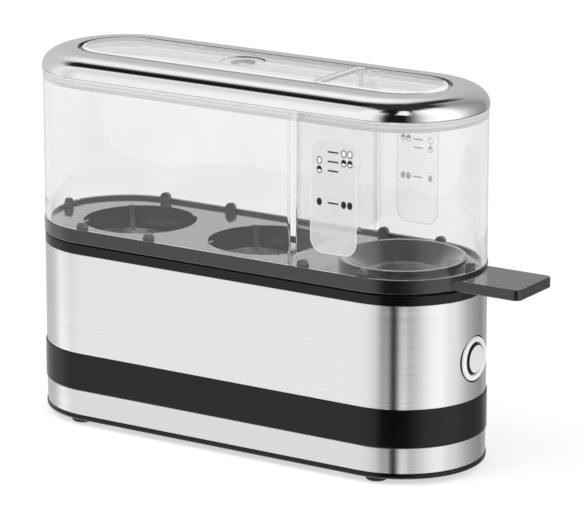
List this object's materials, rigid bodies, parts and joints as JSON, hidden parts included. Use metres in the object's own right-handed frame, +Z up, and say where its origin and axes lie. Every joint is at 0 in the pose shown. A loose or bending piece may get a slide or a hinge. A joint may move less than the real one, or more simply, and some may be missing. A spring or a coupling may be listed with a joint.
{
  "type": "egg cooker",
  "caption": "Stadium-shaped electric egg cooker: brushed steel base with heated water dish and push button, lift-out egg tray with handle, and a clear vented hood with a chrome ring.",
  "frame": {"origin": "on the table, at the middle of the base's outline and of its four feet", "axes": "+Z up; +X along the long side, towards the tray's handle and the push button; -Y is the front face"},
  "size_m": [0.2044, 0.0618, 0.1384],
  "materials": {
    "black_plastic": "satin moulded plastic",
    "tray_plastic": "satin moulded plastic, a little glossier in the bowl",
    "rubber": "matt rubber",
    "zinc_steel": "bright zinc plated steel",
    "brushed_steel": "stainless steel brushed along the body",
    "silicone": "plain silicone rubber",
    "dish_steel": "pressed stainless steel",
    "element_sheath": "dull heat-tinted steel sheath",
    "thermostat_can": "pressed can over a moulded base",
    "fuse_sleeve": "woven sleeve over a small fuse",
    "bezel_chrome": "polished chrome plate",
    "switch_plastic": "moulded plastic",
    "button_grey": "satin light grey plastic",
    "terminal_white": "moulded plastic",
    "wire_red": "soft wire insulation",
    "wire_blue": "soft wire insulation",
    "clear_plastic": "clear moulded plastic, with a frosted scale patch on front and back",
    "plated_ring": "mirror chrome plate on moulded plastic"
  },
  "bodies": {
    "base": {"bottom_cover": "black_plastic", "rubber_feet": "rubber", "cover_screws": "zinc_steel", "housing": "black_plastic", "lower_steel_sleeve": "brushed_steel", "upper_steel_sleeve": "brushed_steel", "dish_seal": "silicone", "heating_dish": "dish_steel", "top_collar": "black_plastic", "collar_screws": "zinc_steel", "heating_element": "element_sheath", "element_clamps": "zinc_steel", "clamp_nuts": "zinc_steel", "thermostat": "thermostat_can", "thermostat_nuts": "zinc_steel", "thermal_fuse": "fuse_sleeve", "fuse_clip": "zinc_steel", "button_bezel": "bezel_chrome", "ring_nut": "zinc_steel", "switch_body": "switch_plastic", "cord_gland": "rubber", "terminal_block": "terminal_white", "feed_wire": "wire_red", "sensor_wire": "wire_red", "fuse_wire": "wire_red", "heater_wire": "wire_red", "return_wire": "wire_blue"},
    "egg_tray": {"egg_tray": "tray_plastic"},
    "hood": {"hood": "clear_plastic", "chrome_ring": "plated_ring"},
    "button": {"button_cap": "button_grey", "switch_plunger": "button_grey"}
  },
  "joints": [
    {"name": "tray_lift", "type": "slide", "parent": "base", "child": "egg_tray", "axis": [0, 0, 1], "range_m": [0, 0.04]},
    {"name": "hood_lift", "type": "slide", "parent": "egg_tray", "child": "hood", "axis": [0, 0, 1], "range_m": [0, 0.08]},
    {"name": "button_press", "type": "slide", "parent": "base", "child": "button", "axis": [-1, 0, 0], "range_m": [0, 0.0015], "stiffness_N_per_m": 1200, "springref_m": -0.001}
  ]
}
